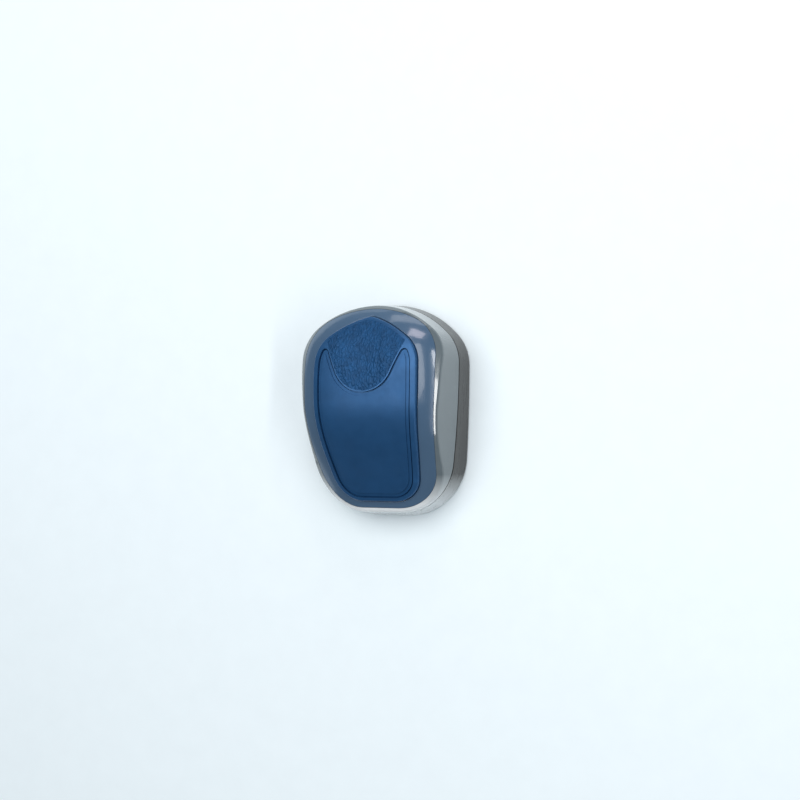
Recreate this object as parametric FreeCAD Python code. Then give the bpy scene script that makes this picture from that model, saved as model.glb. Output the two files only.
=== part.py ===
import FreeCAD, Part
import math
import os

from FreeCAD import Vector

# Two-piece magnetic glass cleaner, stacked pad to pad as it is stored.
# Millimetres. It lies flat: +Z is away from the glass on the hand's side, +Y points to the thumb end
# (the nose), and the thin end is the tail. The origin is the centre of the underside of the half that
# works inside the tank. The glass pane goes between the two pads when the outer half is pulled off.

# ---- overall body, seen from above ----
body_length = 67.8
body_width = 51.8          # widest, across the shoulders
heel_taper = 1.4           # narrower than that across the two large heel corners
nose_bow = 4.1             # radius of the nose end, beyond half of the width
shoulder_radius = 14.0
heel_radius = 20.0
side_radius = 600.0        # the sides bow out this gently between shoulder and heel

# ---- flare of the side wall: how far it leans in by a height just over the crown ----
flare_over = 1.0
flare_side = 2.1
flare_heel = 5.5
flare_nose = 0.7
flare_tail = 3.8
rim_nose_bow = 10.6
rim_shoulder_radius = 12.5
rim_heel_radius = 14.0
rim_side_radius = 190.0
rim_round = 1.2            # rounding of the housing's upper edge

# ---- crown: the saddle-shaped top surface, measured on the centre line ----
crown_height = 25.8
crown_station = 3.0        # where along Y the crown is highest
nose_height = 14.2
tail_height = 10.3
tail_overrun = 5.1         # the tail slope would level out this far past the end
nose_power = 3.2           # how late the nose turns down
side_drop = 4.3            # how much lower the crown is at the bezel's edge than in the middle
side_power = 3.4           # how late the sides turn down
section_station = 1.0      # where along Y a cross-section is widest
section_overrun = 2.1      # the sections would narrow to nothing this far past the ends
section_power = 3.5        # how late they narrow
section_least = 0.4        # the section could narrow to this share of the widest
section_reach = 1.15       # past this share of a section the fall runs on straight
surface_margin = 3.0       # the crown surface is made this much larger than the body
surface_steps_x = 24       # spans of the crown surface
surface_steps_y = 36

# ---- cover bezel, the glossy ring around the handle ----
bezel_side_inset = 3.3     # from the widest body line to the bezel's edge
bezel_heel_inset = 4.9
bezel_nose_inset = 1.4
bezel_tail_inset = 2.9
bezel_nose_bow = 11.4
bezel_shoulder_radius = 14.0
bezel_heel_radius = 14.0
bezel_side_radius = 190.0
seat_depth = 1.0           # depth of the seat for bezel and handle, below the crown
edge_break = 0.15          # small rounding of moulded edges

# ---- handle cap ----
band_side = 4.9            # width of the bezel beside the handle
band_heel = 5.2
band_nose = 2.6
band_tail = 2.25
cap_nose_bow = 19.3        # the two flank arcs that run up to the point of the handle
cap_flank_offset = 9.0     # each flank arc is centred this far beyond the middle
cap_point_radius = 3.5
cap_shoulder_radius = 11.0
cap_heel_radius = 9.5
cap_side_radius = 150.0
cap_rise = 1.1             # how far the handle stands above the bezel
cap_edge_round = 0.6
fit_gap = 0.1              # gap around pieces that drop into a seat
bond_gap = 0.03            # glue line under them

# ---- palm panel and thumb grip, both let into the handle ----
rim_width = 1.8            # smooth blue rim left beside them
rim_tail = 1.1             # the same at the tail
inlay_depth = 1.0
panel_gap = 0.5            # open line around the palm panel
panel_sink = 0.2           # palm field below the handle's rim
panel_step = 0.3           # flange of the panel below its field
panel_flange = 0.95        # width of that flange
thumb_arc_radius = 10.3    # U-shaped lower edge of the thumb area
thumb_arc_lowest = 6.2     # where along Y that edge is lowest
thumb_side_angle = 24.0    # the sides of the U lean out by this much, from the Y axis
horn_radius = 1.4          # rounded tips of the panel beside the thumb area
grip_margin = 0.9          # handle left smooth along its outer edge
grip_lip = 0.35            # thin lip of the handle between the thumb grip and the panel's gap
dish_depth = 0.9           # thumb dish, deepest point
dish_station = 16.5
dish_spread_x = 5.5
dish_spread_y = 6.5

# ---- stack of the inner half, from the table up ----
shell_back = 1.2
shell_edge_round = 0.8
inner_yoke_thickness = 0.8
inner_magnet_thickness = 3.1
cover_thickness = 0.9
seal_thickness = 0.3
film_thickness = 0.15      # adhesive film under each pad
scrub_thickness = 1.6
pad_stand = 0.2            # pads stand this far out of their rims
pad_gap = 0.1              # between the two pads as stored

# ---- stack of the outer half ----
felt_thickness = 0.9
plate_thickness = 1.0
outer_magnet_thickness = 5.0
outer_yoke_thickness = 1.5
carrier_roof = 0.9
carrier_wall = 1.2
wall = 1.8                 # side wall of the housing
deck = 1.2                 # roof of the housing under bezel and handle
rib_thickness = 1.2        # two ribs of the housing that hold the carrier down
rib_spacing = 18.0
rib_length = 16.0

# ---- pads, plate and cover ----
pad_side_inset = 2.5
pad_tail_inset = 4.9
ledge = 1.3
plate_tail_ledge = 3.0

# ---- magnets, the same plan in both halves ----
magnet_width = 13.0
magnet_length = 26.0
magnet_space = 1.5         # between the pair
magnet_station = 7.0       # centre along Y
frame_wall = 1.0           # moulded frame that holds the inner pair
foam_gap = 0.3
cell_margin = 1.6          # foam kept clear of the frame's corners

# ---- screws ----
boss_radius = 2.4
boss_clearance = 0.2
screw_radius = 1.0
screw_pilot = 0.8
screw_head_radius = 1.9
screw_head_height = 0.8
screw_tip_room = 0.2       # pilot hole beyond the screw's point
screw_tip_radius = 0.2
cross_width = 0.5          # the driver cross in each head
cross_length = 2.2
cross_depth = 0.4
tail_boss_inset = 4.6      # screw posts at the tail, from the handle's heel line
tail_boss_y = -20.0
nose_boss_x = 6.5
nose_boss_gap = 0.4        # between the posts at the nose and the magnet carrier
boss_roof = 0.8            # plastic left over each pilot hole

upright_least = 1.0        # edges taller than this are the upright ones
same_place = 0.01          # two points closer than this are the same

# ---- places that follow from the sizes above ----
half_length = body_length / 2
half_width = body_width / 2
heel_half_width = (body_width - heel_taper) / 2
flare_top = crown_height + flare_over
cover_z = shell_back + inner_yoke_thickness + inner_magnet_thickness
scrub_z = cover_z + cover_thickness + film_thickness
scrub_top = scrub_z + scrub_thickness
inner_rim = scrub_top - pad_stand
felt_z = scrub_top + pad_gap
outer_rim = felt_z + pad_stand
outer_film_z = felt_z + felt_thickness
plate_z = outer_film_z + film_thickness
plate_top = plate_z + plate_thickness
carrier_top = plate_top + outer_magnet_thickness + outer_yoke_thickness + carrier_roof
far = 2 * (body_length + body_width + crown_height)


def outline_sizes(half_top, half_heel, nose, tail, bow, shoulder, heel, side, flank=0.0, point=0.0):
    return {"top": half_top, "heel_half": half_heel, "nose": nose, "tail": tail, "arc": half_top + bow,
            "shoulder": shoulder, "heel": heel, "side": side, "flank": flank, "point": point}


def inset(sizes, side, tail):
    """The same outline, smaller by side all round, and by tail at the thin end."""
    smaller = dict(sizes)
    for key in ("top", "heel_half", "nose", "arc", "shoulder", "heel", "side"):
        smaller[key] = sizes[key] - side
    if sizes["flank"]:
        smaller["point"] = sizes["point"] - side
    smaller["tail"] = sizes["tail"] + tail
    return smaller


def grown(sizes, by):
    return inset(sizes, -by, -by)


body = outline_sizes(half_width, heel_half_width, half_length, -half_length, nose_bow,
                     shoulder_radius, heel_radius, side_radius)
upper = outline_sizes(half_width - flare_side, heel_half_width - flare_heel, half_length - flare_nose,
                      flare_tail - half_length, rim_nose_bow, rim_shoulder_radius, rim_heel_radius,
                      rim_side_radius)
bezel = outline_sizes(half_width - bezel_side_inset, heel_half_width - bezel_heel_inset,
                      half_length - bezel_nose_inset, bezel_tail_inset - half_length,
                      bezel_nose_bow, bezel_shoulder_radius, bezel_heel_radius, bezel_side_radius)
cap = outline_sizes(bezel["top"] - band_side, bezel["heel_half"] - band_heel,
                    bezel["nose"] - band_nose, bezel["tail"] + band_tail,
                    cap_nose_bow, cap_shoulder_radius, cap_heel_radius, cap_side_radius,
                    cap_flank_offset, cap_point_radius)
pad = inset(body, pad_side_inset, pad_tail_inset)
plate = inset(pad, ledge, plate_tail_ledge)
tail_boss_x = cap["heel_half"] - tail_boss_inset
pair_width = 2 * magnet_width + magnet_space
carrier_width = pair_width + 2 * carrier_wall
carrier_length = magnet_length + 2 * carrier_wall
nose_boss_y = magnet_station + carrier_length / 2 + nose_boss_gap + boss_radius


def on_circle(centre, radius, angle):
    return Vector(centre.x + radius * math.cos(angle), centre.y + radius * math.sin(angle), centre.z)


def mirrored(point):
    return Vector(-point.x, point.y, point.z)


def circle_meeting(first, first_r, second, second_r):
    """Where two circles meet, on the side of smaller X: the centre of an arc tangent to both corners."""
    apart = second.sub(first)
    distance = apart.Length
    along = (distance ** 2 + first_r ** 2 - second_r ** 2) / (2 * distance)
    across = math.sqrt(first_r ** 2 - along ** 2)
    unit = apart.multiply(1 / distance)
    return first.add(Vector(unit.x * along + unit.y * across, unit.y * along - unit.x * across, 0))


def outline_wire(sizes, z):
    """Closed outline of tangent arcs: nose arc, shoulders, bowed sides, heels and a flat tail."""
    arc_r = sizes["arc"]
    shoulder_r = sizes["shoulder"]
    heel_r = sizes["heel"]
    flank = sizes["flank"]
    point_r = sizes["point"]
    if flank:
        point_y = sizes["nose"] - point_r
        arc_y = point_y - math.sqrt((arc_r - point_r) ** 2 - flank ** 2)
    else:
        arc_y = sizes["nose"] - arc_r
    arc_c = Vector(-flank, arc_y, z)
    across = sizes["top"] - shoulder_r + flank
    turn = math.acos(across / (arc_r - shoulder_r))
    shoulder_c = on_circle(arc_c, arc_r - shoulder_r, turn)
    heel_c = Vector(sizes["heel_half"] - heel_r, sizes["tail"] + heel_r, z)
    side_r = sizes["side"]
    side_c = circle_meeting(shoulder_c, side_r - shoulder_r, heel_c, side_r - heel_r)
    upper_turn = math.atan2(shoulder_c.y - side_c.y, shoulder_c.x - side_c.x)
    lower_turn = math.atan2(heel_c.y - side_c.y, heel_c.x - side_c.x)
    middle_turn = (upper_turn + lower_turn) / 2
    down = -math.pi / 2
    nose_end = on_circle(arc_c, arc_r, turn)
    shoulder_middle = on_circle(shoulder_c, shoulder_r, (turn + upper_turn) / 2)
    shoulder_end = on_circle(shoulder_c, shoulder_r, upper_turn)
    side_middle = on_circle(side_c, side_r, middle_turn)
    heel_start = on_circle(heel_c, heel_r, lower_turn)
    heel_middle = on_circle(heel_c, heel_r, (lower_turn + down) / 2)
    tail_end = on_circle(heel_c, heel_r, down)
    right = [Part.Arc(nose_end, shoulder_middle, shoulder_end),
             Part.Arc(shoulder_end, side_middle, heel_start),
             Part.Arc(heel_start, heel_middle, tail_end)]
    left = [Part.Arc(mirrored(tail_end), mirrored(heel_middle), mirrored(heel_start)),
            Part.Arc(mirrored(heel_start), mirrored(side_middle), mirrored(shoulder_end)),
            Part.Arc(mirrored(shoulder_end), mirrored(shoulder_middle), mirrored(nose_end))]
    if flank:
        point_c = Vector(0, point_y, z)
        peak = on_circle(point_c, point_r, math.pi / 2)
        start = math.acos(flank / (arc_r - point_r))
        flank_start = on_circle(arc_c, arc_r, start)
        middle = on_circle(arc_c, arc_r, (start + turn) / 2)
        nose = [Part.Arc(mirrored(nose_end), mirrored(middle), mirrored(flank_start)),
                Part.Arc(mirrored(flank_start), peak, flank_start),
                Part.Arc(flank_start, middle, nose_end)]
    else:
        nose = [Part.Arc(mirrored(nose_end), on_circle(arc_c, arc_r, math.pi / 2), nose_end)]
    edges = nose + right + [Part.LineSegment(tail_end, mirrored(tail_end))] + left
    return Part.Wire([edge.toShape() for edge in edges])


def column(sizes, z_low, z_high):
    """Straight prism on an outline."""
    return Part.Face(outline_wire(sizes, z_low)).extrude(Vector(0, 0, z_high - z_low))


def slab(z_low, z_high):
    return Part.makeBox(2 * far, 2 * far, z_high - z_low, Vector(-far, -far, z_low))


def flared(z_low, z_high):
    """The body's leaning side wall, as a solid between two heights."""
    whole = Part.makeLoft([outline_wire(body, 0), outline_wire(upper, flare_top)], True, True)
    return whole.common(slab(z_low, z_high))


def smooth_step(share):
    share = min(max(share, 0.0), 1.0)
    return share * share * (3 - 2 * share)


def crown_z(x, y):
    if y > crown_station:
        along = (y - crown_station) / (half_length - crown_station)
        line = crown_height - (crown_height - nose_height) * along ** nose_power
    else:
        tail_run = half_length + crown_station + tail_overrun
        line = tail_height + (crown_height - tail_height) * smooth_step(1 - (crown_station - y) / tail_run)
    return line - side_fall(abs(x) / section_half(y))


def section_half(y):
    """Half width of the cross-section at y, which the crown's fall to the sides is measured by."""
    along = min(abs(y - section_station) / (half_length + section_overrun), 1.0)
    return bezel["top"] * (section_least + (1 - section_least) * math.sqrt(1 - along ** section_power))


def side_fall(share):
    """Fall of the crown at a share of the section's half width; past the body it runs on straight."""
    inside = min(share, section_reach)
    slope = side_drop * side_power * inside ** (side_power - 1)
    return side_drop * inside ** side_power + slope * (share - inside)


def thumb_dish(x, y):
    return dish_depth * math.exp(-(x / dish_spread_x) ** 2 - ((y - dish_station) / dish_spread_y) ** 2)


def under_crown(lift, dished=False):
    """Solid of everything below the crown surface, moved up by lift."""
    reach_x = half_width + surface_margin
    reach_y = half_length + surface_margin
    rows = []
    for i in range(surface_steps_x + 1):
        x = reach_x * (2 * i / surface_steps_x - 1)
        row = []
        for j in range(surface_steps_y + 1):
            y = reach_y * (2 * j / surface_steps_y - 1)
            z = crown_z(x, y) + lift
            if dished:
                z -= thumb_dish(x, y)
            row.append(Vector(x, y, z))
        rows.append(row)
    surface = Part.BSplineSurface()
    surface.interpolate(rows)
    return surface.toShape().extrude(Vector(0, 0, -far))


def between(shape, low_lift, high_lift, dished=False):
    """The part of a shape between two copies of the crown surface."""
    return shape.common(under_crown(high_lift, dished)).cut(under_crown(low_lift))


def box(width, length, height, x, y, z):
    """Box centred on x, y with its underside at z."""
    return Part.makeBox(width, length, height, Vector(x - width / 2, y - length / 2, z))


def rod(radius, z_low, z_high, x, y):
    return Part.makeCylinder(radius, z_high - z_low, Vector(x, y, z_low))


def round_top(shape, radius, floor):
    """Rounds the edges of the face that looks up, where they lie above floor."""
    top = max(shape.Faces, key=lambda face: face.normalAt(0.5, 0.5).z * face.Area
              if face.Surface.TypeId == "Part::GeomBSplineSurface" and face.CenterOfMass.z > floor else 0)
    return shape.makeFillet(radius, top.Edges)


screw_places = [(tail_boss_x, tail_boss_y), (-tail_boss_x, tail_boss_y),
                (nose_boss_x, nose_boss_y), (-nose_boss_x, nose_boss_y)]
# All four screws are the same, so the shortest post sets their length.
pilot_end = min(crown_z(x, y) for x, y in screw_places) + cap_rise - inlay_depth - boss_roof
screw_end = pilot_end - screw_tip_room


# ---- outer half ----

def thumb_region(grow):
    """Prism over the thumb area: the U-shaped edge, its leaning sides, and open towards the nose."""
    radius = thumb_arc_radius + grow
    centre = Vector(0, thumb_arc_lowest + thumb_arc_radius, -far / 2)
    lean = math.radians(thumb_side_angle)
    right = on_circle(centre, radius, -lean)
    low = on_circle(centre, radius, -math.pi / 2)
    reach = body_length
    right_far = Vector(right.x + reach * math.sin(lean), right.y + reach * math.cos(lean), right.z)
    edges = [Part.Arc(mirrored(right), low, right),
             Part.LineSegment(right, right_far),
             Part.LineSegment(right_far, mirrored(right_far)),
             Part.LineSegment(mirrored(right_far), mirrored(right))]
    return Part.Face(Part.Wire([edge.toShape() for edge in edges])).extrude(Vector(0, 0, far))


def round_horns(prism, radius):
    """Rounds the two sharp upright edges of a panel prism beside the thumb area."""
    highest = max(edge.BoundBox.YMax for edge in prism.Edges)
    tips = [edge for edge in prism.Edges
            if edge.BoundBox.ZLength > upright_least and edge.BoundBox.YMin > highest - same_place]
    return prism.makeFillet(radius, tips)


def panel_prism(shrink):
    """Prism of the palm panel's plan, smaller by shrink on every side."""
    plan = column(inset(cap, rim_width + shrink, rim_tail + shrink), 0, far / 4)
    return round_horns(plan.cut(thumb_region(shrink)), max(horn_radius - shrink, edge_break))


def make_bezel():
    ring = column(inset(bezel, fit_gap, fit_gap), 0, far / 4)
    ring = ring.cut(column(grown(cap, fit_gap), 0, far / 4))
    ring = between(ring, bond_gap - seat_depth, 0)
    return round_top(ring, edge_break, 0)


def make_cap():
    block = between(column(cap, 0, far / 4), bond_gap - seat_depth, cap_rise)
    block = round_top(block, cap_edge_round, 0)
    block = block.cut(panel_prism(0).cut(under_crown(cap_rise - inlay_depth)))
    block = block.cut(grip_prism().cut(under_crown(cap_rise - inlay_depth)))
    for x, y in screw_places:
        post = rod(boss_radius, plate_top, far / 4, x, y).common(under_crown(-seat_depth / 2))
        block = block.fuse(post)
    for x, y in screw_places:
        block = block.cut(rod(screw_pilot, plate_z, pilot_end, x, y))
    return block.removeSplitter()


def grip_prism():
    """Prism of the thumb grip's plan: the handle's outline and the U edge, both kept back."""
    plan = column(inset(cap, grip_margin, grip_margin), 0, far / 4)
    return plan.common(thumb_region(-grip_lip))


def make_grip():
    return between(grip_prism(), cap_rise - inlay_depth + bond_gap, cap_rise, True)


def make_panel():
    field_top = cap_rise - panel_sink
    plan = panel_prism(panel_gap)
    flange = between(plan, cap_rise - inlay_depth + bond_gap, field_top - panel_step)
    field = between(panel_prism(panel_gap + panel_flange), cap_rise - inlay_depth + bond_gap, field_top)
    return flange.fuse(field).removeSplitter()


def make_housing():
    shell = flared(outer_rim, flare_top).common(under_crown(0))
    shell = round_top(shell, rim_round, outer_rim)
    shell = shell.cut(column(bezel, 0, far / 4).cut(under_crown(-seat_depth)))
    cavity = column(inset(body, wall + flare_side, wall + flare_side), plate_top, far / 4)
    cavity = cavity.common(column(inset(upper, wall, wall), plate_top, far / 4))
    cavity = cavity.common(column(plate, plate_top, far / 4))
    cavity = cavity.common(under_crown(-seat_depth - deck))
    ribs = []
    for side in (-1, 1):
        rib = box(rib_thickness, rib_length, far / 4, side * rib_spacing / 2, magnet_station, carrier_top)
        ribs.append(rib.common(under_crown(-seat_depth - deck / 2)))
    carrier_room = box(carrier_width + 2 * fit_gap, carrier_length + 2 * fit_gap, carrier_top - plate_top,
                       0, magnet_station, plate_top)
    shell = shell.cut(cavity).cut(carrier_room).fuse(ribs)
    shell = shell.cut(column(grown(plate, fit_gap), plate_z, plate_top))
    shell = shell.cut(column(grown(pad, fit_gap), 0, plate_z))
    for x, y in screw_places:
        shell = shell.cut(rod(boss_radius + boss_clearance, plate_top, far / 4, x, y))
    return shell.removeSplitter()


def screw_seat(x, y):
    """Head and neck of a screw, which is also the hole they sit in."""
    cone = Part.makeCone(screw_head_radius, screw_radius, screw_head_height, Vector(x, y, plate_z))
    return cone.fuse(rod(screw_radius, plate_z, plate_top, x, y))


def make_base_plate():
    sheet = column(plate, plate_z, plate_top)
    for x, y in screw_places:
        sheet = sheet.cut(screw_seat(x, y))
    return sheet


def make_screws():
    """Countersunk self-tapping screws, driven up through the base plate into the handle's posts."""
    screws = []
    for x, y in screw_places:
        shank_end = screw_end - screw_pilot
        shank = rod(screw_pilot, plate_z, shank_end, x, y)
        point = Part.makeCone(screw_pilot, screw_tip_radius, screw_pilot, Vector(x, y, shank_end))
        screw = screw_seat(x, y).fuse([shank, point])
        for width, length in ((cross_width, cross_length), (cross_length, cross_width)):
            screw = screw.cut(box(width, length, cross_depth, x, y, plate_z))
        screws.append(screw.removeSplitter())
    return Part.makeCompound(screws)


def magnet_x(side):
    return side * (magnet_width + magnet_space) / 2


def magnet(side, z, thickness):
    return box(magnet_width, magnet_length, thickness, magnet_x(side), magnet_station, z)


def make_carrier():
    """Open-bottomed frame that holds the outer magnets and their keeper plate on the base plate."""
    outside = box(carrier_width, carrier_length, carrier_top - plate_top, 0, magnet_station, plate_top)
    upright = [edge for edge in outside.Edges if edge.BoundBox.ZLength > upright_least]
    outside = outside.makeFillet(carrier_wall, upright)
    hollow = box(pair_width, magnet_length, carrier_top - carrier_roof - plate_top,
                 0, magnet_station, plate_top)
    spine = box(magnet_space, magnet_length, outer_magnet_thickness, 0, magnet_station, plate_top)
    return outside.cut(hollow).fuse(spine).removeSplitter()


# ---- inner half ----

def make_inner_shell():
    shell = flared(0, inner_rim)
    bottom = min(shell.Faces, key=lambda face: face.CenterOfMass.z)
    shell = shell.makeFillet(shell_edge_round, bottom.Edges)
    shell = shell.cut(column(grown(pad, fit_gap), cover_z - seal_thickness, far / 4))
    room = column(inset(pad, ledge, ledge), shell_back, cover_z - seal_thickness)
    frame_outside = box(pair_width + 2 * frame_wall, magnet_length + 2 * frame_wall,
                        far / 4, 0, magnet_station, 0)
    frame_inside = box(pair_width, magnet_length, far / 4, 0, magnet_station, 0)
    room = room.cut(frame_outside.cut(frame_inside))
    return shell.cut(room).removeSplitter()


def make_seal():
    ring = column(pad, cover_z - seal_thickness, cover_z)
    return ring.cut(column(inset(pad, ledge, ledge), 0, far / 4))


def make_foam():
    """Closed-cell float around the magnet frame, so that a dropped inner half rises."""
    block = column(inset(pad, ledge + foam_gap, ledge + foam_gap), shell_back, cover_z - seal_thickness)
    keep_out = box(pair_width + 2 * frame_wall + cell_margin, magnet_length + 2 * frame_wall + cell_margin,
                   far / 4, 0, magnet_station, 0)
    return block.cut(keep_out)


def inner_magnet(side):
    return magnet(side, shell_back + inner_yoke_thickness, inner_magnet_thickness)


def outer_magnet(side):
    return magnet(side, plate_top, outer_magnet_thickness)


nodes = {
    "outer_housing": make_housing(),
    "cover_bezel": make_bezel(),
    "handle_cap": make_cap(),
    "thumb_grip": make_grip(),
    "palm_panel": make_panel(),
    "magnet_carrier": make_carrier(),
    "outer_yoke": box(pair_width, magnet_length, outer_yoke_thickness, 0, magnet_station,
                      plate_top + outer_magnet_thickness),
    "outer_magnet_left": outer_magnet(-1),
    "outer_magnet_right": outer_magnet(1),
    "base_plate": make_base_plate(),
    "housing_screws": make_screws(),
    "felt_film": column(pad, outer_film_z, plate_z),
    "felt_pad": column(pad, felt_z, outer_film_z),
    "scrub_pad": column(pad, scrub_z, scrub_top),
    "scrub_film": column(pad, scrub_z - film_thickness, scrub_z),
    "inner_cover": column(pad, cover_z, cover_z + cover_thickness),
    "inner_seal": make_seal(),
    "inner_magnet_left": inner_magnet(-1),
    "inner_magnet_right": inner_magnet(1),
    "inner_yoke": box(pair_width, magnet_length, inner_yoke_thickness, 0, magnet_station, shell_back),
    "float_foam": make_foam(),
    "inner_shell": make_inner_shell(),
}

os.makedirs("parts", exist_ok=True)
for name, shape in nodes.items():
    solids = len(shape.Solids)
    print(name, "solids", solids, "valid", shape.isValid(), "volume", round(shape.Volume, 1))
    shape.exportStep("parts/" + name + ".step")
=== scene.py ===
import math

import bmesh
import bpy
from mathutils import Matrix, Vector, noise


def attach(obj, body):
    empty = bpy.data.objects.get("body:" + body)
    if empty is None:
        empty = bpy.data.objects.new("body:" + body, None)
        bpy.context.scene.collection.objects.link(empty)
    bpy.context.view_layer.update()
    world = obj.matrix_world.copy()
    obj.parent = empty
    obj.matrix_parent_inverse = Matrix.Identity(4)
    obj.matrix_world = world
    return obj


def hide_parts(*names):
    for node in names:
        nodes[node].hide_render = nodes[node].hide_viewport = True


# Magnetic glass cleaner, lying with its inner half down on a pale floor, under studio lights.
# Metres, in the CAD frame: +Z up from the floor, +Y towards the thumb end, +X to the right.

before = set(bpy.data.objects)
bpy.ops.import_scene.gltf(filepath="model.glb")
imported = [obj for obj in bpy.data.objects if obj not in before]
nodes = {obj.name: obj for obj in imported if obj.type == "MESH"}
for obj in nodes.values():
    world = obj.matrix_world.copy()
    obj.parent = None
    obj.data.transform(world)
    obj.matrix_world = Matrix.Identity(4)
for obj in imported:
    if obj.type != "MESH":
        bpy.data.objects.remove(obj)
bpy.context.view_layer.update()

MM = 0.001

# ---- camera: looks down at the cleaner, turned round its long axis to the right ----
VIEW_TURN = math.radians(24.0)
VIEW_DISTANCE = 0.763
LENS = 106.1
SENSOR = 36.0
AIM_RIGHT = 1.2 * MM
AIM_UP = 8.58 * MM
LENS_SHIFT_UP = 0.02

# ---- studio ----
WORLD_COLOUR = (0.70, 0.82, 0.95)
WORLD_STRENGTH = 0.18
FLOOR_COLOUR = (0.82, 0.90, 0.93)
FLOOR_HALF = 1.5
LIGHT_TARGET = (0, 0, 12 * MM)
WHITE = (1.0, 1.0, 1.0)

# name, azimuth and elevation in degrees, size, watts, colour, distance from the target
SOFTBOXES = (
    ("key_box", -15, 71, (0.9, 0.72), 6.6, WHITE, 0.8),
    ("right_strip", 93, 45, (0.90, 0.035), 1.3, WHITE, 0.6),
    ("window_card", 9, 28, (0.19, 0.12), 0.42, (1.0, 0.90, 0.95), 0.6),
    ("nose_card", -3, 9, (0.34, 0.10), 0.22, WHITE, 0.6),
    ("tail_card", 178, 4, (0.5, 0.06), 0.10, WHITE, 0.6),
)

# ---- what every finish shares ----
TONE_START = 0.3               # noise at which the darker tone begins to give way
TONE_END = 0.7                 # noise at which the paler tone is reached
EDGE_START = 0.53              # pointiness at which the paler edges begin
EDGE_END = 0.62                # pointiness at which the paler edges are full

# ---- painted reflection: the grey plastic fades to near-white between these two places along Y ----
HEEL_REFLECTION_START = -20.0 * MM
HEEL_REFLECTION_END = -29.5 * MM
HEEL_REFLECTION_COLOUR = (0.74, 0.77, 0.78)

# ---- grain of the thumb grip ----
GRIP_CELL = 0.19 * MM          # spacing of the cuts that carry the relief
GRIP_PEBBLE = (0.80, 1.70)     # width and length of a pebble of the grain, millimetres
GRIP_RELIEF = 0.42 * MM
GRIP_LEVEL = 0.7               # height of the grain, 0 to 1, that stays on the CAD surface
GRIP_WARP = 0.7                # how crooked the rows of pebbles are, in pebbles
GRIP_WARP_RATE = 0.35          # turns of the crookedness per millimetre
GRIP_WARP_LAYERS = (4.0, 9.0)  # depths in the noise: one across the rows, one along them
GRIP_CREASE = 0.45             # width of a crease's flanks, in pebbles
GRIP_FOLD_RATE = (1.1, 0.30)   # folds per millimetre, across and along
GRIP_FOLD_LAYER = 2.0
GRIP_SHARES = (0.70, 0.30)     # shares of pebbles and folds in the height
GRIP_TOP_NORMAL = 0.5          # faces that look up more than this carry the grain
GRIP_SMOOTH = 55.0             # degrees: edges flatter than this are shaded smooth

# ---- finish of each piece ----
SLOTS = {
    "outer_housing": "housing_grey", "cover_bezel": "bezel_slate", "handle_cap": "handle_blue",
    "thumb_grip": "grip_blue", "palm_panel": "panel_blue", "magnet_carrier": "carrier_black",
    "outer_yoke": "keeper_steel", "outer_magnet_left": "magnet_nickel",
    "outer_magnet_right": "magnet_nickel", "base_plate": "plate_grey",
    "housing_screws": "screw_steel", "felt_film": "adhesive_film", "felt_pad": "felt_grey",
    "scrub_pad": "scrub_black", "scrub_film": "adhesive_film", "inner_cover": "plate_grey",
    "inner_seal": "seal_rubber",
    "inner_magnet_left": "magnet_nickel", "inner_magnet_right": "magnet_nickel",
    "inner_yoke": "keeper_steel", "float_foam": "foam_white", "inner_shell": "shell_grey",
}

# ---- soft pads ----
PAD_CELL = 0.5 * MM
PAD_ROUND = 0.45 * MM
PAD_FIBRES = (0.8, 2.1, 4)     # fractal noise: increment, lacunarity, octaves

# node, body, how deep the face sinks, size of its tufts in millimetres, fill
PADS = (
    ("felt_pad", "outer_half", 0.06 * MM, 0.9, 0.9),
    ("scrub_pad", "inner_half", 0.22 * MM, 0.9, 0.9),
    ("float_foam", "inner_half", 0.10 * MM, 1.5, 1.0),
)

# ---- cutting a CAD node's mesh ----
WELD = 1e-6                    # vertices and heights nearer than this are the same
FLAT_ANGLE = math.radians(0.2)
RIM_ANGLE = math.radians(60)
RIM_STEPS = 4
PIECE_SMOOTH = 40.0            # degrees: edges flatter than this are shaded smooth


# ---- camera and studio ----

def add_camera():
    right = Vector((math.cos(VIEW_TURN), 0, -math.sin(VIEW_TURN)))
    up = Vector((0, 1, 0))
    back = Vector((math.sin(VIEW_TURN), 0, math.cos(VIEW_TURN)))
    data = bpy.data.cameras.new("camera")
    data.lens = LENS
    data.sensor_width = SENSOR
    data.shift_y = -LENS_SHIFT_UP
    data.clip_start = 0.01
    camera = bpy.data.objects.new("camera", data)
    place = back * VIEW_DISTANCE + right * AIM_RIGHT + up * AIM_UP
    turn = Matrix((right, up, back)).transposed().to_4x4()
    camera.matrix_world = Matrix.Translation(place) @ turn
    bpy.context.scene.collection.objects.link(camera)
    bpy.context.scene.camera = camera


def add_softbox(name, azimuth, elevation, size, watts, colour, distance):
    """Rectangular light aimed at the part. Azimuth 0 is towards the thumb end, 90 to the right."""
    turn = math.radians(azimuth)
    rise = math.radians(elevation)
    flat = math.cos(rise)
    away = Vector((math.sin(turn) * flat, math.cos(turn) * flat, math.sin(rise)))
    data = bpy.data.lights.new(name, "AREA")
    data.shape = "RECTANGLE"
    data.size, data.size_y = size
    data.energy = watts
    data.color = colour
    light = bpy.data.objects.new(name, data)
    look = (-away).to_track_quat("-Z", "Y").to_matrix().to_4x4()
    light.matrix_world = Matrix.Translation(Vector(LIGHT_TARGET) + away * distance) @ look
    bpy.context.scene.collection.objects.link(light)


def add_world():
    world = bpy.data.worlds.new("studio")
    world.use_nodes = True
    background = world.node_tree.nodes["Background"]
    background.inputs["Color"].default_value = (*WORLD_COLOUR, 1)
    background.inputs["Strength"].default_value = WORLD_STRENGTH
    bpy.context.scene.world = world
    bpy.context.scene.view_settings.view_transform = "Standard"


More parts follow.
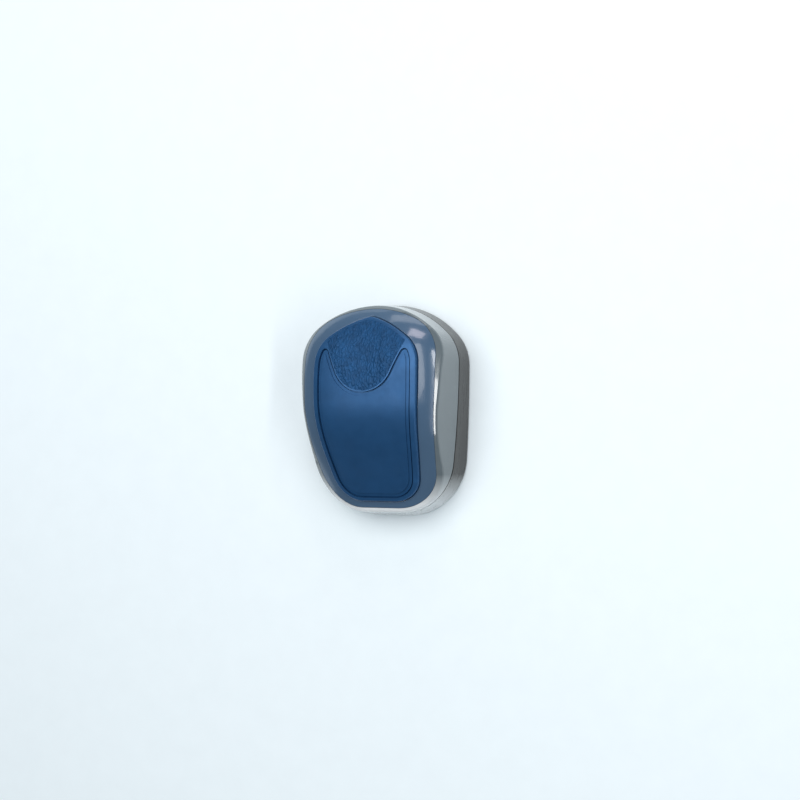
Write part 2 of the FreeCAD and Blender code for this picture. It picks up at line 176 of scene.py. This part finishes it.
def add_floor():
    mesh = bpy.data.meshes.new("floor")
    half = FLOOR_HALF
    corners = [(-half, -half, 0), (half, -half, 0), (half, half, 0), (-half, half, 0)]
    mesh.from_pydata(corners, [], [(0, 1, 2, 3)])
    floor = bpy.data.objects.new("floor", mesh)
    bpy.context.scene.collection.objects.link(floor)
    mesh.materials.append(surface("floor_paper", FLOOR_COLOUR, roughness=0.8, grain=0.6,
                                  bump=0.02, tint=0.01))


# ---- materials ----

class Tree:
    """Small helper for building one material's nodes."""

    def __init__(self, name):
        self.material = bpy.data.materials.new(name)
        self.material.use_nodes = True
        self.nodes = self.material.node_tree.nodes
        self.links = self.material.node_tree.links
        self.shader = self.nodes["Principled BSDF"]
        self.place = self.nodes.new("ShaderNodeTexCoord").outputs["Object"]

    def stretched(self, scale):
        mapping = self.nodes.new("ShaderNodeMapping")
        mapping.inputs["Scale"].default_value = scale
        self.links.new(self.place, mapping.inputs["Vector"])
        return mapping.outputs["Vector"]

    def noise(self, size, detail=4.0, rough=0.55, stretch=(1, 1, 1)):
        """Noise with features about size millimetres across."""
        node = self.nodes.new("ShaderNodeTexNoise")
        node.inputs["Scale"].default_value = 1 / (size * MM)
        node.inputs["Detail"].default_value = detail
        node.inputs["Roughness"].default_value = rough
        self.links.new(self.stretched(stretch), node.inputs["Vector"])
        return node.outputs["Fac"]

    def cell_edges(self, size, stretch):
        """Distance from the seams between cells about size millimetres across."""
        node = self.nodes.new("ShaderNodeTexVoronoi")
        node.feature = "DISTANCE_TO_EDGE"
        node.inputs["Scale"].default_value = 1 / (size * MM)
        self.links.new(self.stretched(stretch), node.inputs["Vector"])
        return node.outputs["Distance"]

    def ramp(self, value, low, high, start=TONE_START, end=TONE_END):
        """Goes from low to high as value goes from start to end."""
        node = self.nodes.new("ShaderNodeMapRange")
        node.inputs["From Min"].default_value = start
        node.inputs["From Max"].default_value = end
        node.inputs["To Min"].default_value = low
        node.inputs["To Max"].default_value = high
        self.links.new(value, node.inputs["Value"])
        return node.outputs["Result"]

    def tones(self, value, dark, pale, start=TONE_START, end=TONE_END):
        """Goes from one colour to the other as value goes from start to end."""
        node = self.nodes.new("ShaderNodeValToRGB")
        elements = node.color_ramp.elements
        for element, at, colour in zip(elements, (start, end), (dark, pale)):
            element.position = at
            element.color = (*colour, 1)
        self.links.new(value, node.inputs["Fac"])
        return node.outputs["Color"]

    def mixed(self, share, first, second):
        """The first colour where share is 0, the second where it is 1."""
        node = self.nodes.new("ShaderNodeMix")
        node.data_type = "RGBA"
        self.links.new(share, node.inputs["Factor"])
        self.links.new(first, node.inputs["A"])
        self.links.new(second, node.inputs["B"])
        return node.outputs["Result"]

    def bump(self, height, strength, depth, onto=None):
        """Normals of a relief depth millimetres deep, laid over those of another when given."""
        node = self.nodes.new("ShaderNodeBump")
        node.inputs["Strength"].default_value = strength
        node.inputs["Distance"].default_value = depth * MM
        self.links.new(height, node.inputs["Height"])
        if onto:
            self.links.new(onto, node.inputs["Normal"])
        return node.outputs["Normal"]

    def sharp_edge_mask(self):
        """1 on the sharp outer edges, 0 elsewhere."""
        geometry = self.nodes.new("ShaderNodeNewGeometry")
        return self.ramp(geometry.outputs["Pointiness"], 0.0, 1.0, EDGE_START, EDGE_END)

    def set(self, **values):
        for name, value in values.items():
            self.shader.inputs[name.replace("_", " ")].default_value = value

    def use(self, **outputs):
        for name, output in outputs.items():
            self.links.new(output, self.shader.inputs[name.replace("_", " ")])


def scaled(colour, factor):
    return tuple(min(channel * factor, 1.0) for channel in colour)


def surface(name, colour, roughness, grain=0.25, bump=0.15, tint=0.08, wear=0.0, metallic=0.0,
            stretch=(1, 1, 1)):
    """Moulded or brushed surface: mottled colour, uneven gloss, fine relief and, with wear, paler
    edges."""
    tree = Tree(name)
    tree.set(Metallic=metallic)
    mottle = tree.tones(tree.noise(size=9.0, stretch=stretch),
                        scaled(colour, 1 - tint), scaled(colour, 1 + tint))
    if wear:
        pale = tree.tones(tree.noise(size=1.5),
                          scaled(colour, 1 + wear), scaled(colour, 1 + 2 * wear))
        mottle = tree.mixed(tree.sharp_edge_mask(), mottle, pale)
    smudge = tree.ramp(tree.noise(size=4.0, stretch=stretch),
                       low=0.85 * roughness, high=1.2 * roughness)
    relief = tree.bump(tree.noise(grain, detail=6.0, rough=0.6, stretch=stretch), bump, depth=0.02)
    tree.use(Base_Color=mottle, Roughness=smudge, Normal=relief)
    return tree.material


def glossy_shell(name, colour, roughness, coat, painted_reflection=None):
    """Polished moulding: a coat over the colour, with the faint ripple and hairline scuffs of use.
    With a heel colour, the plastic fades to that near-white towards the thin end, a painted
    reflection."""
    tree = Tree(name)
    tree.set(Coat_Weight=coat, Coat_Roughness=0.04)
    mottle = tree.tones(tree.noise(size=14.0), scaled(colour, 0.95), scaled(colour, 1.05))
    # painted reflection: near-white towards the thin end, in place of the bright reflection on the
    # wall there
    if painted_reflection:
        along = tree.nodes.new("ShaderNodeSeparateXYZ")
        tree.links.new(tree.place, along.inputs["Vector"])
        share = tree.ramp(along.outputs["Y"], 1.0, 0.0, HEEL_REFLECTION_END, HEEL_REFLECTION_START)
        painted_white_reflection = tree.tones(tree.noise(size=3.0), scaled(painted_reflection, 0.94), painted_reflection)
        mottle = tree.mixed(share, mottle, painted_white_reflection)
    scuffs = tree.noise(size=1.2, detail=8.0, rough=0.7, stretch=(1.0, 0.06, 1.0))
    gloss = tree.ramp(scuffs, low=0.97 * roughness, high=1.08 * roughness, start=0.4, end=0.75)
    ripple = tree.bump(tree.noise(size=6.0, detail=2.0), strength=0.05, depth=0.2)
    relief = tree.bump(tree.noise(size=0.3, detail=3.0), strength=0.03, depth=0.01, onto=ripple)
    tree.use(Base_Color=mottle, Roughness=gloss, Normal=relief)
    return tree.material


def satin_blue(name, colour, roughness, grain_bump):
    """Satin moulding of the handle and its panel, spark-textured, with paler edges."""
    tree = Tree(name)
    tree.set(Metallic=0.45, Specular_IOR_Level=0.4)
    mottle = tree.tones(tree.noise(size=7.0), scaled(colour, 0.93), scaled(colour, 1.07))
    pale = tree.tones(tree.noise(size=0.8), scaled(colour, 1.25), scaled(colour, 1.5))
    # paler colour towards the sharp edges
    edge_paling = tree.ramp(tree.sharp_edge_mask(), low=0.0, high=0.6, start=0.0, end=1.0)
    base = tree.mixed(edge_paling, mottle, pale)
    satin = tree.ramp(tree.noise(size=3.0), low=0.9 * roughness, high=1.12 * roughness)
    relief = tree.bump(tree.noise(size=0.18, detail=4.0, rough=0.65), grain_bump, depth=0.015)
    tree.use(Base_Color=base, Roughness=satin, Normal=relief)
    return tree.material


def leather_grain(name, colour):
    """Soft-touch grip: the pebbles are real relief, and painted shade darkens the colour between
    them.
    """
    tree = Tree(name)
    tree.set(Metallic=0.35, Specular_IOR_Level=0.22)
    wide, long = GRIP_PEBBLE
    seams = tree.cell_edges(size=1.0, stretch=(1 / wide, 1 / long, 0.2))
    tone = tree.tones(tree.noise(size=2.6, stretch=(1.0, 0.6, 1.0)),
                      scaled(colour, 0.8), scaled(colour, 1.2))
    painted_crease_shade = tree.tones(tree.noise(size=0.5), scaled(colour, 0.5), scaled(colour, 0.7))
    # painted shade: the colour darkens towards the seams between the pebbles
    base = tree.mixed(tree.ramp(seams, low=0.45, high=0.0, start=0.0, end=0.12), tone, painted_crease_shade)
    soft = tree.ramp(tree.noise(size=0.8), low=0.42, high=0.6)
    relief = tree.bump(tree.noise(size=0.22, detail=5.0, rough=0.7), strength=0.25, depth=0.02)
    tree.use(Base_Color=base, Roughness=soft, Normal=relief)
    return tree.material


def fibres(name, colour, light, size, bump, depth=0.15, stretch=(1, 1, 1), sheen=0.3):
    """Felt, scouring fleece or foam: tangled fibres or cells in two tones, fully matt."""
    tree = Tree(name)
    tree.set(Sheen_Weight=sheen, Sheen_Roughness=0.6)
    along, across, upward = stretch
    strands = tree.noise(size, detail=8.0, rough=0.75, stretch=stretch)
    cross = tree.noise(0.7 * size, detail=6.0, rough=0.7, stretch=(across, along, upward))
    first = tree.tones(strands, colour, light, start=0.35, end=0.65)
    second = tree.tones(cross, light, colour, start=0.35, end=0.65)
    base = tree.mixed(tree.ramp(tree.noise(2 * size), low=0.2, high=0.8), first, second)
    relief = tree.bump(cross, bump, depth, onto=tree.bump(strands, bump, depth))
    matt = tree.ramp(strands, low=0.85, high=1.0)
    tree.use(Base_Color=base, Roughness=matt, Normal=relief)
    return tree.material


def film(name, colour):
    """Amber adhesive film with a web of gel."""
    tree = Tree(name)
    tree.set(Specular_IOR_Level=0.4)
    base = tree.tones(tree.noise(size=2.0), scaled(colour, 0.85), colour)
    gloss = tree.ramp(tree.noise(size=1.0), low=0.25, high=0.5)
    relief = tree.bump(tree.noise(size=0.6), strength=0.2, depth=0.03)
    tree.use(Base_Color=base, Roughness=gloss, Normal=relief)
    return tree.material


def put_on(material, node):
    if not node.material_slots:
        node.data.materials.append(material)
    for slot in node.material_slots:
        slot.material = material


def make_finishes():
    """One material for each slot of the record."""
    return {
        # the grey housing and the inner shell both carry the painted reflection at the thin end
        "housing_grey": glossy_shell("housing_finish", (0.118, 0.146, 0.160), roughness=0.14,
                                     coat=0.8, painted_reflection=HEEL_REFLECTION_COLOUR),
        "bezel_slate": glossy_shell("bezel_finish", (0.060, 0.112, 0.185), roughness=0.18,
                                    coat=0.5),
        "handle_blue": satin_blue("handle_finish", (0.019, 0.085, 0.208), roughness=0.38,
                                  grain_bump=0.10),
        "panel_blue": satin_blue("panel_finish", (0.015, 0.078, 0.198), roughness=0.46,
                                 grain_bump=0.12),
        "grip_blue": leather_grain("grip_finish", (0.009, 0.062, 0.165)),
        # painted shade: the real inner shell is coloured dark grey to stand in for the dark band of
        # shade and reflection low on the side wall
        "shell_grey": glossy_shell("shell_painted_shade_finish", (0.050, 0.050, 0.048), roughness=0.28,
                                   coat=0.15, painted_reflection=HEEL_REFLECTION_COLOUR),
        "carrier_black": surface("carrier_finish", (0.02, 0.02, 0.022), roughness=0.45, wear=0.6),
        "keeper_steel": surface("keeper_finish", (0.55, 0.55, 0.54), roughness=0.32, metallic=1.0,
                                wear=0.2, grain=0.5, stretch=(1, 0.05, 1), bump=0.3),
        "magnet_nickel": surface("nickel_finish", (0.72, 0.70, 0.66), roughness=0.18,
                                 metallic=1.0, wear=0.1, bump=0.08),
        "plate_grey": surface("plate_finish", (0.16, 0.17, 0.18), roughness=0.5, wear=0.3,
                              bump=0.25),
        "screw_steel": surface("screw_finish", (0.60, 0.60, 0.60), roughness=0.28, metallic=1.0,
                               wear=0.2, grain=0.15),
        "adhesive_film": film("film_finish", (0.62, 0.58, 0.42)),
        "felt_grey": fibres("felt_finish", (0.20, 0.21, 0.22), (0.42, 0.43, 0.44), size=0.35,
                            bump=0.6),
        "scrub_black": fibres("scrub_finish", (0.008, 0.008, 0.009), (0.10, 0.10, 0.105),
                              size=0.42, bump=1.0, depth=0.6, stretch=(0.35, 1.6, 1.0)),
        "seal_rubber": surface("seal_finish", (0.015, 0.015, 0.015), roughness=0.7, grain=0.3,
                               bump=0.3),
        "foam_white": fibres("foam_finish", (0.62, 0.62, 0.60), (0.82, 0.82, 0.80), size=0.6,
                             bump=0.7, sheen=0.0),
    }


def shade_nodes():
    """Gives every CAD node the finish of its own slot."""
    for name, node in nodes.items():
        put_on(finishes[SLOTS[name]], node)


# ---- pieces that replace the plain CAD solids ----

def cut_into_cells(mesh, cell):
    """Cuts a mesh along a square grid in X and Y. It gains vertices and its outline stays exact."""
    for axis, along in enumerate((Vector((1, 0, 0)), Vector((0, 1, 0)))):
        low = min(vert.co[axis] for vert in mesh.verts)
        high = max(vert.co[axis] for vert in mesh.verts)
        for step in range(1, int((high - low) / cell) + 1):
            geometry = mesh.verts[:] + mesh.edges[:] + mesh.faces[:]
            bmesh.ops.bisect_plane(mesh, geom=geometry, dist=WELD, plane_no=along,
                                   plane_co=along * (low + step * cell))


def piece_from(node, cell, round_by=0.0):
    """A finely cut copy of a CAD node, as a bmesh, with its level, sharp rims rounded if asked."""
    mesh = bmesh.new()
    mesh.from_mesh(nodes[node].data)
    bmesh.ops.remove_doubles(mesh, verts=mesh.verts, dist=WELD)
    bmesh.ops.dissolve_limit(mesh, angle_limit=FLAT_ANGLE, verts=mesh.verts, edges=mesh.edges)
    if round_by:
        rims = [edge for edge in mesh.edges if len(edge.link_faces) == 2
                and edge.calc_face_angle() > RIM_ANGLE
                and abs(edge.verts[0].co.z - edge.verts[1].co.z) < WELD]
        bmesh.ops.bevel(mesh, geom=rims, offset=round_by, segments=RIM_STEPS, profile=0.5,
                        affect="EDGES", clamp_overlap=True)
    cut_into_cells(mesh, cell)
    return mesh


def finish_piece(mesh, name, node, body, smooth=PIECE_SMOOTH):
    """Turns a bmesh into the object that stands for a CAD node, with its finish and its body."""
    mesh.normal_update()
    data = bpy.data.meshes.new(name)
    mesh.to_mesh(data)
    mesh.free()
    for polygon in data.polygons:
        polygon.use_smooth = True
    data.set_sharp_from_angle(angle=math.radians(smooth))
    piece = bpy.data.objects.new(name, data)
    data.materials.append(finishes[SLOTS[node]])
    bpy.context.scene.collection.objects.link(piece)
    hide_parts(node)
    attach(piece, body)
    return piece


def pebble_height(x, y):
    """Leather grain at a point in millimetres: 1 on top of a pebble, 0 in a crease."""
    wide, long = GRIP_PEBBLE
    across, along = (GRIP_WARP * noise.noise((GRIP_WARP_RATE * x, GRIP_WARP_RATE * y, layer))
                     for layer in GRIP_WARP_LAYERS)
    near, following = noise.voronoi(Vector((x / wide + across, y / long + along, 0.0)))[0][:2]
    pebble = min((following - near) / GRIP_CREASE, 1.0)
    fold = noise.noise((GRIP_FOLD_RATE[0] * x, GRIP_FOLD_RATE[1] * y, GRIP_FOLD_LAYER))
    pebble_share, fold_share = GRIP_SHARES
    return pebble_share * pebble * (2 - pebble) + fold_share * (0.5 + 0.5 * fold)


def make_thumb_grip():
    mesh = piece_from("thumb_grip", GRIP_CELL)
    mesh.normal_update()
    tops = [vert for vert in mesh.verts
            if all(face.normal.z > GRIP_TOP_NORMAL for face in vert.link_faces)]
    for vert in tops:
        x, y = vert.co.x / MM, vert.co.y / MM
        vert.co.z += GRIP_RELIEF * (pebble_height(x, y) - GRIP_LEVEL)
    finish_piece(mesh, "thumb_grip_grained", "thumb_grip", "outer_half", GRIP_SMOOTH)


def make_pad(node, body, relief, size, fill):
    """Pad with a rounded rim and a fibrous face that only ever sinks below the CAD solid."""
    mesh = piece_from(node, PAD_CELL, PAD_ROUND)
    mesh.normal_update()
    for vert in mesh.verts:
        spot = vert.co / (size * MM)
        sunk = 0.5 + 0.5 * noise.fractal(spot, *PAD_FIBRES)
        vert.co -= vert.normal * relief * min(max(sunk, 0.0), 1.0)
    piece = finish_piece(mesh, node + "_soft", node, body)


finishes = make_finishes()
add_camera()
add_world()
add_floor()
for softbox in SOFTBOXES:
    add_softbox(*softbox)
shade_nodes()
make_thumb_grip()
for pad in PADS:
    make_pad(*pad)
